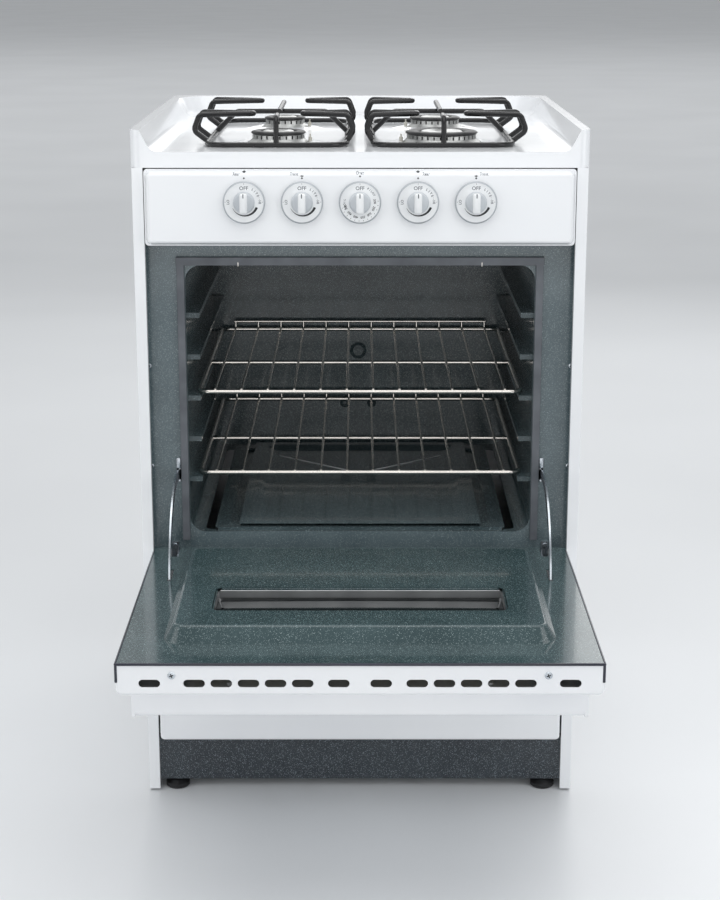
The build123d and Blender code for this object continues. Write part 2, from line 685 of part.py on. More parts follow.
# ---- Door, modelled open ----
pan_height = door_thickness - 1.6
notch = (arm_inner - 1.6, arm_outer + 9.0, hinge_y - 12.0)
with BuildPart() as door_outer:
    block(-door_half, door_half, end_y, heel_y, door_face_z, door_face_z + pan_height, 0)
    fillet(door_outer.edges().filter_by(Axis.Y).group_by(Axis.Z)[0], 8)
    fillet(door_outer.edges().filter_by(Axis.X).group_by(Axis.Z)[0], 4)
    block(-door_half + sheet, door_half - sheet, end_y + sheet, heel_y - sheet,
          door_face_z + 8, door_liner_z, 0, Mode.SUBTRACT)
    block(-door_half + 9, door_half - 9, end_y + 6, heel_y - 6, door_face_z + sheet,
          door_face_z + 9, 4, Mode.SUBTRACT)
    window_y = end_y + window_end
    block(-window_width / 2, window_width / 2, window_y, window_y + window_height,
          door_face_z - 1, door_face_z + 5, 10, Mode.SUBTRACT)
    vent_z = door_face_z + 15
    for station in vent_stations:
        for x in (-station, station):
            plate(x - vent_length / 2, x + vent_length / 2, vent_z - vent_width / 2,
                  vent_z + vent_width / 2, end_y - 1, end_y + 3, vent_width / 2 - 0.05,
                  Mode.SUBTRACT)
    for x in (-end_screw_station, end_screw_station):
        bar((x, end_y - 1, vent_z + 10), (x, end_y + 3, vent_z + 10), 2.0, Mode.SUBTRACT)
    for side in (-1, 1):
        span = sorted((side * notch[0], side * notch[1]))
        block(*span, notch[2], heel_y + 1, hinge_z - 9, door_liner_z + 1, 0, Mode.SUBTRACT)
        bar((side * post_station, end_y + handle_station, door_face_z - 1),
            (side * post_station, end_y + handle_station, door_face_z + 3), 2.5, Mode.SUBTRACT)
save(door_outer, "door_outer_panel")

plateau_y0 = end_y + plateau_end
plateau_y1 = heel_y - plateau_heel
plateau_half = gasket_inner - plateau_clearance
slope_angle = math.degrees(math.atan2(plateau_slope, plateau_rise))


def liner_plateau(inset, z0, mode=Mode.ADD):
    """Adds the raised middle of the door liner, its form moved inward by a wall."""
    with BuildSketch(Plane.XY.offset(z0)) as foot_outline:
        with Locations((0, (plateau_y0 + plateau_y1) / 2)):
            RectangleRounded(2 * (plateau_half - inset), plateau_y1 - plateau_y0 - 2 * inset,
                             24 - inset)
    extrude(foot_outline.sketch, amount=plateau_rise, taper=slope_angle, mode=mode)


liner_low = door_liner_z - 1.6
with BuildPart() as door_liner:
    block(-door_half, door_half, end_y, heel_y, liner_low, door_liner_z, 6)
    liner_plateau(0, door_liner_z)
    fillet(door_liner.faces().sort_by(Axis.Z)[-1].edges(), 5)
    liner_plateau(1.6, liner_low, Mode.SUBTRACT)
    block(-window_width / 2, window_width / 2, window_y, window_y + window_height,
          door_liner_z + plateau_rise - 6, door_liner_z + plateau_rise + 1, 10, Mode.SUBTRACT)
    for side in (-1, 1):
        span = sorted((side * notch[0], side * notch[1]))
        block(*span, notch[2] - 22, heel_y + 1, liner_low - 1, door_liner_z + 1, 0,
              Mode.SUBTRACT)
        span = sorted((side * (arm_inner - 1.4), side * (arm_outer + 1.4)))
        block(*span, hinge_y - arm_radius - arm_half_width - 4, hinge_y - 90, liner_low - 1,
              door_liner_z + 1, 0, Mode.SUBTRACT)
save(door_liner, "door_liner")

glass_low = door_face_z + sheet
glass_lap = 14.0
glass_high = door_liner_z + plateau_rise - 1.6
with BuildPart() as glasses:
    for low in (glass_low, glass_high - glass_thickness):
        block(-window_width / 2 - glass_lap, window_width / 2 + glass_lap, window_y - glass_lap,
              window_y + window_height + glass_lap, low, low + glass_thickness, 8)
save(glasses, "window_glasses")
with BuildPart() as window_frame:
    lap = glass_lap + 0.5
    block(-window_width / 2 - lap, window_width / 2 + lap, window_y - lap,
          window_y + window_height + lap, glass_low + glass_thickness,
          glass_high - glass_thickness, 8)
    block(-window_width / 2, window_width / 2, window_y, window_y + window_height,
          glass_low, glass_high, 10, Mode.SUBTRACT)
save(window_frame, "window_frame")

with BuildPart() as door_insulation:
    block(-plateau_half + 30, plateau_half - 30, plateau_y0 + 4, plateau_y1 - 30,
          door_face_z + 9.5, liner_low - 1, 10)
    lap = glass_lap + 1.0
    block(-window_width / 2 - lap, window_width / 2 + lap, window_y - lap,
          window_y + window_height + lap, door_face_z + 8, door_liner_z, 8, Mode.SUBTRACT)
save(door_insulation, "door_insulation")

handle_y = end_y + handle_station
handle_front_z = door_face_z - handle_standoff
with BuildPart() as handle:
    lip_y = handle_y - handle_width / 2
    with BuildSketch(Plane.YZ.offset(-handle_half)) as handle_section:
        with BuildLine() as handle_line:
            FilletPolyline((lip_y, handle_front_z + handle_lip), (lip_y, handle_front_z),
                           (lip_y + handle_width, handle_front_z), radius=handle_bend)
            offset(amount=handle_wall, side=Side.LEFT)
        make_face(handle_line.line)
    extrude(handle_section.sketch, amount=2 * handle_half)
    for cap_x in (-handle_half, handle_half - handle_wall):
        with BuildSketch(Plane.YZ.offset(cap_x)) as end_cap:
            with BuildLine() as cap_line:
                FilletPolyline((lip_y, handle_front_z + handle_lip), (lip_y, handle_front_z),
                               (lip_y + handle_width, handle_front_z),
                               (lip_y + handle_width, handle_front_z + handle_bend),
                               (lip_y + handle_bend, handle_front_z + handle_lip),
                               radius=handle_bend / 4, close=True)
            make_face(cap_line.line)
        extrude(end_cap.sketch, amount=handle_wall)
save(handle, "door_handle")
with BuildPart() as posts:
    for x in (-post_station, post_station):
        bar((x, handle_y, handle_front_z + handle_wall), (x, handle_y, door_face_z), post_radius)
        bar((x, handle_y, door_face_z - 1), (x, handle_y, door_face_z + 2 * sheet), 2.4)
        bar((x, handle_y, door_face_z + sheet), (x, handle_y, door_face_z + sheet + 3), 4.5)
save(posts, "handle_posts")

# ---- Hinges ----
def around_pin(radius, degrees):
    """A place on an arc about the hinge pin, from the door round to the body."""
    turn = math.radians(degrees)
    return (hinge_y - radius * math.cos(turn), hinge_z + radius * math.sin(turn))


def sector(low, high, start, end):
    """Adds an arc of flat bar about the pin, to the sketch being made."""
    middle_angle = (start + end) / 2
    with BuildLine() as outline:
        ThreePointArc(around_pin(high, start), around_pin(high, middle_angle),
                      around_pin(high, end))
        Line(around_pin(high, end), around_pin(low, end))
        ThreePointArc(around_pin(low, end), around_pin(low, middle_angle),
                      around_pin(low, start))
        Line(around_pin(low, start), around_pin(high, start))
    make_face(outline.line)


with BuildPart() as arms:
    for side in (-1, 1):
        inner_x = -arm_outer if side < 0 else arm_inner
        with BuildSketch(Plane.YZ.offset(inner_x)) as arm_outline:
            sector(arm_radius - arm_half_width, arm_radius + arm_half_width, arm_from,
                   arm_head_from + 1)
            sector(arm_radius - arm_head_half, arm_radius + arm_head_half, arm_head_from,
                   arm_head_to)
            with Locations((hinge_y - (arm_radius + 8) / 2 + 3, hinge_z + 2)):
                RectangleRounded(arm_radius + 14, 20, 5)
            with Locations((hinge_y, hinge_z)):
                Circle(pin_radius + pin_clearance, mode=Mode.SUBTRACT)
        extrude(arm_outline.sketch, amount=arm_thickness)
save(arms, "hinge_arms")

bracket_inner = arm_outer + 1.0
bracket_sheet = 2.4
with BuildPart() as brackets:
    for side in (-1, 1):
        inner_x = -(bracket_inner + bracket_sheet) if side < 0 else bracket_inner
        with BuildSketch(Plane.YZ.offset(inner_x)) as ear:
            with Locations((hinge_y, hinge_z)):
                Circle(7)
            with Locations(((hinge_y + frame_y) / 2, hinge_z)):
                Rectangle(frame_y - hinge_y, 14)
            with Locations((hinge_y, hinge_z)):
                Circle(pin_radius, mode=Mode.SUBTRACT)
        extrude(ear.sketch, amount=bracket_sheet)
        span = sorted((side * bracket_inner, side * (bracket_inner + 11)))
        plate(*span, hinge_z - 9, bracket_screw_z + 6, frame_y - bracket_sheet, frame_y, 1.5)
        bar((side * (bracket_screw_x), frame_y - 4, bracket_screw_z),
            (side * (bracket_screw_x), frame_y + 1, bracket_screw_z), 2.0, Mode.SUBTRACT)
    for side in (-1, 1):
        bar((side * (arm_inner - 1.0), hinge_y, hinge_z),
            (side * (bracket_inner + bracket_sheet), hinge_y, hinge_z), pin_radius)
        bar((side * (bracket_inner + bracket_sheet), hinge_y, hinge_z),
            (side * (bracket_inner + bracket_sheet + 2), hinge_y, hinge_z), pin_radius + 2)
save(brackets, "hinge_brackets")

# ---- Drawer ----
drawer_half = mouth_half - drawer_side_gap
tray_bottom = drawer_bottom + 6
with BuildPart() as drawer_front:
    plate(-drawer_half, drawer_half, drawer_bottom, drawer_top, panel_face, front + 8, 6)
    fillet(drawer_front.faces().sort_by(Axis.Y)[0].edges(), 3.0)
    plate(-drawer_half + sheet + 3, drawer_half - sheet - 3, drawer_bottom + sheet + 3,
          drawer_top - sheet - 3, panel_face + 4, front + 9, 4, Mode.SUBTRACT)
save(drawer_front, "drawer_front")
tray_y0 = front + 8
tray_y1 = back - tray_back_gap
tray_top = tray_bottom + tray_wall_height
with BuildPart() as tray:
    block(-tray_half, tray_half, tray_y0, tray_y1, tray_bottom, tray_top, 3)
    block(-tray_half + drawer_wall, tray_half - drawer_wall, tray_y0 + drawer_wall,
          tray_y1 - drawer_wall, tray_bottom + drawer_wall, tray_top + 1, 2, Mode.SUBTRACT)
    for side in (-1, 1):
        span = sorted((side * (tray_half - 10), side * (drawer_half - 5)))
        plate(*span, tray_bottom + 20, tray_top - 20, front + 7, front + 8)
save(tray, "drawer_tray")

runner_z = tray_bottom + 90
with BuildPart() as runners:
    for side in (-1, 1):
        span = sorted((side * tray_half, side * (tray_half + runner_width)))
        block(*span, tray_y0 + 10, tray_y1 - 6, runner_z, runner_z + runner_height)
save(runners, "drawer_runners")
rail_inner = tray_half + runner_width + 0.6
with BuildPart() as rails:
    for side in (-1, 1):
        span = sorted((side * rail_inner, side * (rail_inner + 2)))
        block(*span, front + 34, tray_y1 + 10, runner_z - 3, runner_z + runner_height + 3)
        for z0 in (runner_z - 3, runner_z + runner_height + 0.6):
            span = sorted((side * (tray_half + 1), side * (rail_inner + 2)))
            block(*span, front + 34, tray_y1 + 10, z0, z0 + 2.4)
        for y in (front + 40, tray_y1 - 60):
            span = sorted((side * (rail_inner + 2), side * inner_half))
            block(*span, y, y + 40, runner_z + 2, runner_z + 4)
save(rails, "drawer_rails")

with BuildPart() as broiler_pan:
    pan_z = tray_bottom + drawer_wall + 0.2
    block(-190, 190, tray_y0 + 60, tray_y0 + 360, pan_z, pan_z + 34, 20)
    block(-188.8, 188.8, tray_y0 + 61.2, tray_y0 + 358.8, pan_z + 1.2, pan_z + 35, 18.8,
          Mode.SUBTRACT)
    block(-187, 187, tray_y0 + 64, tray_y0 + 356, pan_z + 30, pan_z + 32, 16)
    for i in range(-8, 9):
        block(i * 20 - 3, i * 20 + 3, tray_y0 + 100, tray_y0 + 320, pan_z + 29, pan_z + 33, 2.9,
              Mode.SUBTRACT)
save(broiler_pan, "broiler_pan")

# ---- Screws ----
def screw(start, end, head, head_height):
    """Adds a pan-head screw: a thread from start to end, its head before the start."""
    start = Vector(start)
    run = (Vector(end) - start).normalized()
    bar(start, end, 2.0)
    bar(start - run * head_height, start, head)


with BuildPart() as cabinet_screws:
    for side in (-1, 1):
        screw((side * bracket_screw_x, frame_y - bracket_sheet, bracket_screw_z),
              (side * bracket_screw_x, frame_y + sheet + 1.8, bracket_screw_z), 3.6, 2.2)
save(cabinet_screws, "bracket_screws")
with BuildPart() as door_screws:
    for side in (-1, 1):
        screw((side * end_screw_station, end_y, vent_z + 10),
              (side * end_screw_station, end_y + 10, vent_z + 10), 4.6, 1.6)
save(door_screws, "door_screws")
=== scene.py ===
"""Freestanding gas range: finishes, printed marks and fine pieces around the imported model."""

import json
import math

import bmesh
import bpy
from mathutils import Matrix, Vector
from mathutils.bvhtree import BVHTree


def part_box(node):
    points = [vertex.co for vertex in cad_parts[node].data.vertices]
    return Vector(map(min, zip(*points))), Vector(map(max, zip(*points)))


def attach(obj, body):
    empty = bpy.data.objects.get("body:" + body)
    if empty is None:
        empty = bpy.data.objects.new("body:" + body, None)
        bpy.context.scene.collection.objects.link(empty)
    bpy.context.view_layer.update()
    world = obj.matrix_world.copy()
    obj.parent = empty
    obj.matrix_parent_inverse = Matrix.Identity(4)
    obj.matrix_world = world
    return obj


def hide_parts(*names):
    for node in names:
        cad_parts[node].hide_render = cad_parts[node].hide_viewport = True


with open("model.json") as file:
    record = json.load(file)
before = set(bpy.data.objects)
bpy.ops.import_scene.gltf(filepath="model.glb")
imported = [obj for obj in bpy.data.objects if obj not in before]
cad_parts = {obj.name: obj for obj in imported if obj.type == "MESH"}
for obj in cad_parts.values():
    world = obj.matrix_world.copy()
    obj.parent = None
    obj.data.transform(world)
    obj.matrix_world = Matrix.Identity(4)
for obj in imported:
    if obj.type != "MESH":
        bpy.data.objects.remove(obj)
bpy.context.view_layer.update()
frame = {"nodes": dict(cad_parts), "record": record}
nodes = frame["nodes"]
MM = 0.001

# ---------------------------------------------------------------- camera, light and floor


LENS_MM = 75.2
SENSOR_MM = 36.0
CAMERA_PLACE = (0.0, -2.599, 1.163)
CAMERA_TILT = 14.69  # degrees below level
SURROUND = (0.80, 0.82, 0.84, 1)
SURROUND_STRENGTH = 0.52
FLOOR_HALF = 60.0  # metres, so that its far edge is out of view

# Each soft box: its place, the point it faces, its width and height in metres, and its watts.
SOFT_BOXES = {
    "overhead_box": ((0.0, -0.7, 2.9), (0, 0, 0.6), (3.0, 2.4), 34),
    "left_box": ((-2.4, -1.5, 1.3), (0, 0, 0.6), (1.6, 2.2), 14),
    "right_box": ((2.4, -1.7, 1.5), (0, 0, 0.6), (1.6, 2.2), 19),
    "far_box": ((0, 12.0, 9.0), (0, 12.0, 0), (24.0, 16.0), 800),
    "rear_box": ((0.6, 3.2, 2.2), (0, 0.3, 0.5), (2.6, 2.0), 26),
    "front_fill": ((0.0, -3.4, 0.9), (0, 0.2, 0.5), (2.2, 1.6), 13),
}


def build_camera():
    """A long lens a little above the cooktop, looking down at the open oven."""
    lens = bpy.data.cameras.new("studio_camera")
    camera = bpy.data.objects.new("studio_camera", lens)
    lens.sensor_fit = "VERTICAL"
    lens.sensor_height = SENSOR_MM
    lens.lens = LENS_MM
    camera.location = CAMERA_PLACE
    camera.rotation_euler = (math.radians(90 - CAMERA_TILT), 0.0, 0.0)
    bpy.context.scene.collection.objects.link(camera)
    bpy.context.scene.camera = camera


def soft_light(name, place, aim, size, power):
    """A rectangular soft box at a place, turned towards a point."""
    lamp = bpy.data.lights.new(name, "AREA")
    lamp.shape = "RECTANGLE"
    lamp.size, lamp.size_y = size
    lamp.energy = power
    light = bpy.data.objects.new(name, lamp)
    light.location = place
    light.rotation_euler = (Vector(aim) - Vector(place)).to_track_quat("-Z", "Y").to_euler()
    bpy.context.scene.collection.objects.link(light)


def build_lights():
    """Soft boxes overhead, at each side, behind and low in front, and a pale surround."""
    for name, box in SOFT_BOXES.items():
        soft_light(name, *box)
    world = bpy.data.worlds.new("pale_surround")
    world.use_nodes = True
    background = world.node_tree.nodes["Background"]
    background.inputs["Color"].default_value = SURROUND
    background.inputs["Strength"].default_value = SURROUND_STRENGTH
    bpy.context.scene.world = world
    bpy.context.scene.view_settings.view_transform = "Standard"


# ---------------------------------------------------------------- materials


def srgb(code):
    """A hex colour such as '#f4f6f8' as linear red, green, blue and alpha."""
    values = [int(code[i : i + 2], 16) / 255 for i in (1, 3, 5)]
    linear = [v / 12.92 if v <= 0.04045 else ((v + 0.055) / 1.055) ** 2.4 for v in values]
    return (*linear, 1.0)


def add(tree, kind, links=None, **settings):
    """Adds a shader node with its settings; links maps inputs to sockets or to values."""
    made = tree.nodes.new(kind)
    for key, value in settings.items():
        setattr(made, key, value)
    for key, source in (links or {}).items():
        if isinstance(source, bpy.types.NodeSocket):
            tree.links.new(source, made.inputs[key])
        else:
            made.inputs[key].default_value = source
    return made


def surface(name, **values):
    """A new material with its shader's own values set, and its Object coordinates."""
    made = bpy.data.materials.new(name)
    made.use_nodes = True
    tree = made.node_tree
    shader = tree.nodes["Principled BSDF"]
    for key, value in values.items():
        shader.inputs[key.replace("_", " ")].default_value = value
    place = add(tree, "ShaderNodeTexCoord").outputs["Object"]
    return made, tree, shader, place


def ramp(tree, factor, stops):
    """A colour ramp from a list of positions and hex colours."""
    made = add(tree, "ShaderNodeValToRGB", {"Fac": factor})
    elements = made.color_ramp.elements
    while len(elements) < len(stops):
        elements.new(0.5)
    for element, (position, code) in zip(elements, stops):
        element.position = position
        element.color = srgb(code)
    return made.outputs["Color"]


def per_metre(size_mm):
    """The scale of a pattern whose repeat is a size in millimetres."""
    return 1.0 / (size_mm * MM)


def roughen(tree, shader, place, size_mm, height_mm, low, high):
    """Gives a surface fine relief of a real size and height, and uneven gloss."""
    noise = add(tree, "ShaderNodeTexNoise",
                {"Vector": place, "Scale": per_metre(size_mm), "Detail": 3.0})
    bump = add(tree, "ShaderNodeBump",
               {"Height": noise.outputs["Fac"], "Strength": 1.0, "Distance": height_mm * MM})
    tree.links.new(bump.outputs["Normal"], shader.inputs["Normal"])
    gloss = add(tree, "ShaderNodeTexNoise",
                {"Vector": place, "Scale": per_metre(size_mm * 14), "Detail": 2.0})
    spread = add(tree, "ShaderNodeMapRange",
                 {"Value": gloss.outputs["Fac"], "To Min": low, "To Max": high})
    tree.links.new(spread.outputs["Result"], shader.inputs["Roughness"])


def enamel(name, light, shade, relief=0.004):
    """Fired porcelain enamel: glassy, faintly wavy like orange peel."""
    made, tree, shader, place = surface(name, Coat_Weight=0.35, Coat_Roughness=0.04)
    cloud = add(tree, "ShaderNodeTexNoise",
                {"Vector": place, "Scale": per_metre(160), "Detail": 2.0})
    tree.links.new(ramp(tree, cloud.outputs["Fac"], [(0.3, shade), (0.7, light)]),
                   shader.inputs["Base Color"])
    roughen(tree, shader, place, 3.5, relief, 0.15, 0.18)
    return made


def speckled_enamel(name, ground, deep, fleck, fleck_mm=1.1, amount=0.25, gloss=(0.13, 0.24)):
    """Ground-coat enamel of an oven: dark glassy ground with pale flecks fired into it.

    The real flecks are a few tenths of a millimetre, and are drawn as coarse as they show.
    """
    made, tree, shader, place = surface(name, Coat_Weight=0.3, Coat_Roughness=0.06)
    cloud = add(tree, "ShaderNodeTexNoise",
                {"Vector": place, "Scale": per_metre(70), "Detail": 3.0})
    base = ramp(tree, cloud.outputs["Fac"], [(0.3, deep), (0.7, ground)])
    cells = add(tree, "ShaderNodeTexVoronoi",
                {"Vector": place, "Scale": per_metre(fleck_mm), "Randomness": 1.0})
    size = add(tree, "ShaderNodeSeparateColor", {"Color": cells.outputs["Color"]})
    reach = add(tree, "ShaderNodeMath",
                {0: size.outputs["Red"], 1: amount * 2}, operation="MULTIPLY")
    inside = add(tree, "ShaderNodeMath",
                 {0: cells.outputs["Distance"], 1: reach.outputs["Value"]},
                 operation="LESS_THAN")
    strength = add(tree, "ShaderNodeMath",
                   {0: inside.outputs["Value"], 1: size.outputs["Green"]},
                   operation="MULTIPLY")
    mixed = add(tree, "ShaderNodeMix", {"Factor": strength.outputs["Value"]}, data_type="RGBA")
    tree.links.new(base, mixed.inputs["A"])
    mixed.inputs["B"].default_value = srgb(fleck)
    tree.links.new(mixed.outputs["Result"], shader.inputs["Base Color"])
    roughen(tree, shader, place, 2.5, 0.012, *gloss)
    return made


def metal(name, light, dark, low, high, grain_mm=0.8, relief=0.004, metallic=1.0):
    """Bare or plated metal with a slightly uneven finish."""
    made, tree, shader, place = surface(name, Metallic=metallic)
    cloud = add(tree, "ShaderNodeTexNoise",
                {"Vector": place, "Scale": per_metre(grain_mm * 20), "Detail": 4.0})
    tree.links.new(ramp(tree, cloud.outputs["Fac"], [(0.3, dark), (0.7, light)]),
                   shader.inputs["Base Color"])
    roughen(tree, shader, place, grain_mm, relief, low, high)
    return made


def moulded(name, light, dark, low, high, grain_mm=0.6, relief=0.006):
    """Moulded plastic, rubber or cast enamel, with a fine even grain."""
    made, tree, shader, place = surface(name)
    cloud = add(tree, "ShaderNodeTexNoise",
                {"Vector": place, "Scale": per_metre(30), "Detail": 2.0})
    tree.links.new(ramp(tree, cloud.outputs["Fac"], [(0.3, dark), (0.7, light)]),
                   shader.inputs["Base Color"])
    roughen(tree, shader, place, grain_mm, relief, low, high)
    return made


def galvanised(name):
    """Hot-dip galvanised sheet: pale grey metal with large frosted zinc flakes."""
    made, tree, shader, place = surface(name, Metallic=0.9)
    flakes = add(tree, "ShaderNodeTexVoronoi", {"Vector": place, "Scale": per_metre(9)})
    grey = add(tree, "ShaderNodeSeparateColor", {"Color": flakes.outputs["Color"]})
    tree.links.new(ramp(tree, grey.outputs["Red"], [(0.0, "#a3a8ab"), (1.0, "#b9bdc0")]),
                   shader.inputs["Base Color"])
    roughen(tree, shader, place, 1.2, 0.004, 0.32, 0.5)
    return made


def wool(name):
    """Mineral wool blanket: matted yellow-brown fibres."""
    made, tree, shader, place = surface(name)
    fibres = add(tree, "ShaderNodeTexNoise",
                 {"Vector": place, "Scale": per_metre(4), "Detail": 8.0, "Distortion": 2.0})
    tree.links.new(ramp(tree, fibres.outputs["Fac"], [(0.3, "#8d7f57"), (0.7, "#cdbf8e")]),
                   shader.inputs["Base Color"])
    roughen(tree, shader, place, 2.0, 0.4, 0.9, 1.0)
    return made


def oven_glass(name):
    """Tempered oven window: dark, very smooth, half see-through."""
    made, tree, shader, place = surface(name, Transmission_Weight=0.5, IOR=1.5)
    film = add(tree, "ShaderNodeTexNoise",
               {"Vector": place, "Scale": per_metre(60), "Detail": 3.0})
    tree.links.new(ramp(tree, film.outputs["Fac"], [(0.3, "#1b1f21"), (0.7, "#262b2d")]),
                   shader.inputs["Base Color"])
    roughen(tree, shader, place, 40.0, 0.002, 0.02, 0.05)
    return made


# Porcelain fired on steel: bright and glassy, with a soft wave like orange peel.
WHITE = enamel("white_porcelain_enamel", "#f3f5f7", "#f0f2f5")
# The oven's blue-grey ground coat: dark and glassy, with pale flecks.
OVEN = speckled_enamel("oven_ground_coat_enamel", "#4c5a5e", "#3a484c", "#9fb0b2")
# The bead across the oven floor, coloured near-white as a painted highlight of the crease.
BEAD_PAINTED_HIGHLIGHT = moulded("floor_bead_painted_highlight", "#d3d8da", "#eef1f2", 0.3, 0.45, 2.0, 0.01)
# The frame round the mouth takes a thinner, paler ground coat.
FRONT_FRAME = speckled_enamel("front_frame_enamel", "#66757a", "#56656a", "#b9c6c8")
# The door liner's ground coat is a little greener.
LINER = speckled_enamel("door_liner_enamel", "#43575a", "#36494c", "#a9babb", amount=0.22)
# The oven floor is the smoothest, so it mirrors the mouth.
FLOOR_PANEL = speckled_enamel("oven_floor_enamel", "#56666a", "#445357", "#b4c2c4",
                              amount=0.2, gloss=(0.08, 0.16))
# The kick panel's near-black ground coat shows its flecks most.
KICK = speckled_enamel("toe_kick_enamel", "#2c343a", "#222930", "#87939b", amount=0.26)
# The enamel rolled round the door's edge, coloured blue-black as a painted dark reflection: a
# deep thin line.
ROLLED_RIM_DARK_REFLECTION = enamel("rolled_rim_painted_dark_reflection", "#1d2336", "#161a29")
# Black enamel baked on bent rod: wet-looking highlights along each rod.
GRATE = moulded("grate_black_enamel", "#101013", "#0a0a0c", 0.2, 0.34, 1.5, 0.02)
# Matt black enamel on cast caps, so they stay dark under the lights; the same black paints the
# shade inside the burner ports.
CAP_ENAMEL_AND_PORT_SHADE = moulded("cap_black_enamel_and_port_shade", "#1b1b1d", "#131315", 0.4, 0.55, 0.8, 0.02)
# Die-cast aluminium: pale grey, with the grain of the die.
BURNER = metal("die_cast_aluminium", "#c9cac8", "#a9aaa9", 0.3, 0.45, 0.7, 0.012)
# Chrome on drawn wire: bright lines with a slight blur.
CHROME = metal("chrome_plated_wire", "#f4efe8", "#e4dfd8", 0.14, 0.24, 2.0, 0.002)
# Bright zinc plate on screws and arms, and on the plates at the arm slots, where its brightness
# stands in for a painted highlight.
ZINC = metal("bright_zinc_plate", "#cfd5da", "#b4bbc2", 0.2, 0.34, 1.0, 0.004)
# Galvanised sheet on the back, base and drawer tray.
GALVANISED = galvanised("galvanised_sheet")
# Drawn aluminium tube: a soft streaky shine.
TUBE = metal("drawn_aluminium_tube", "#c4c6c8", "#b0b2b4", 0.25, 0.38)
# Machined brass valves, yellow and half bright.
BRASS = metal("machined_brass", "#c9a45a", "#b08d48", 0.22, 0.36)
# Plated steel pipe: darker and duller than the tubes.
PIPE = metal("plated_steel_pipe", "#8b8d90", "#75777a", 0.3, 0.45)
# Aluminised sheet round the window: a pale, even sheen.
ALUMINISED = metal("aluminised_sheet", "#d3d5d6", "#bfc1c3", 0.3, 0.45, 1.5)
# Glossy moulded ABS, a shade warmer than the enamel.
KNOB = moulded("white_knob_plastic", "#f1f3f4", "#e9ebed", 0.18, 0.26, 0.8, 0.002)
# Powder coat on the handle, as bright as the door.
HANDLE = enamel("white_powder_coat", "#f4f5f7", "#eef0f3")
# Silicone rubber seal: mid grey with a skin sheen.
GASKET = moulded("grey_silicone_rubber", "#686c72", "#565a60", 0.36, 0.5, 0.9, 0.02)
# Mineral wool: matt matted fibres.
WOOL = wool("mineral_wool")
# Black moulded plastic feet.
FOOT = moulded("black_foot_plastic", "#1a1a1b", "#111112", 0.35, 0.5)
# Glazed off-white ceramic round each igniter.
CERAMIC = moulded("white_igniter_ceramic", "#dedbd2", "#cfcbc0", 0.25, 0.4)
# The broiler pan's black flecked enamel.
BROILER = speckled_enamel("broiler_enamel", "#1b1f24", "#13161a", "#59636a", amount=0.14)
# Tempered glass: dark, with clear reflections.
GLASS = oven_glass("tempered_oven_glass")
# Printing inks: matt, grey for words and black for marks; the black also paints the shade in
# the screws' cross recesses.
INK = moulded("grey_printing_ink", "#4e545c", "#444a52", 0.4, 0.5, 0.5, 0.001)
BLACK_INK_AND_RECESS_SHADE = moulded("black_ink_and_recess_shade", "#1d2024", "#17191d", 0.4, 0.5, 0.5, 0.001)
# The dial's satin edge, a step darker than the knob; the hub's grey is painted shade for its
# sloped sides beside the grip.
DIAL_EDGE = moulded("satin_grey_dial_edge", "#b7bcc1", "#a9aeb3", 0.3, 0.4)
HUB_PAINTED_SHADE = moulded("hub_painted_shade_grey", "#c9ced2", "#c0c5ca", 0.3, 0.4)

SLOT_FINISH = {
    "white_enamel": WHITE, "oven_enamel": OVEN, "kick_enamel": KICK, "grate_enamel": GRATE,
    "cap_enamel": CAP_ENAMEL_AND_PORT_SHADE, "burner_aluminium": BURNER, "chrome_wire": CHROME, "zinc_steel": ZINC,
    "galvanised": GALVANISED, "tube_aluminium": TUBE, "valve_brass": BRASS,
    "pipe_steel": PIPE, "knob_plastic": KNOB, "handle_white": HANDLE, "gasket_grey": GASKET,
    "window_glass": GLASS, "frame_aluminised": ALUMINISED, "insulation_wool": WOOL,
    "foot_plastic": FOOT, "ceramic": CERAMIC, "broiler_enamel": BROILER,
}
# Nodes whose finish differs from their slot's.
FINISH_OF = {"door_liner": LINER, "oven_front_frame": FRONT_FRAME}


def finish_cad_nodes():
    """Gives every carried-over node the finish of its slot."""
    slots = {s["node"]: s["material_slot"] for s in frame["record"]["subparts"]}
    for name, thing in nodes.items():
        finish = FINISH_OF.get(name, SLOT_FINISH[slots[name]])
        if thing.data.materials:
            for index in range(len(thing.data.materials)):
                thing.data.materials[index] = finish
        else:
            thing.data.materials.append(finish)


def build_stage():
    """A plain pale studio floor."""
    made = bmesh.new()
    bmesh.ops.create_grid(made, x_segments=1, y_segments=1, size=FLOOR_HALF)
    mesh = bpy.data.meshes.new("studio_floor")
    made.to_mesh(mesh)
    made.free()
    floor = bpy.data.objects.new("studio_floor", mesh)
    bpy.context.scene.collection.objects.link(floor)
    finish, tree, shader, place = surface("pale_studio_floor", Roughness=0.35)
    cloud = add(tree, "ShaderNodeTexNoise", {"Vector": place, "Scale": per_metre(900)})
    tree.links.new(ramp(tree, cloud.outputs["Fac"], [(0.3, "#dfe1e3"), (0.7, "#e5e7e9")]),
                   shader.inputs["Base Color"])
    mesh.materials.append(finish)


# ---------------------------------------------------------------- making pieces


def piece(name, made, finish, body, sharp=35):
    """Turns a finished shape into a smooth-shaded piece that rides on a body."""
    mesh = bpy.data.meshes.new(name)
    made.to_mesh(mesh)
    made.free()
    for entry in finish if isinstance(finish, (list, tuple)) else [finish]:
        mesh.materials.append(entry)
    mesh.shade_smooth()
    mesh.set_sharp_from_angle(angle=math.radians(sharp))
    thing = bpy.data.objects.new(name, mesh)
    bpy.context.scene.collection.objects.link(thing)
    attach(thing, body)
    return thing


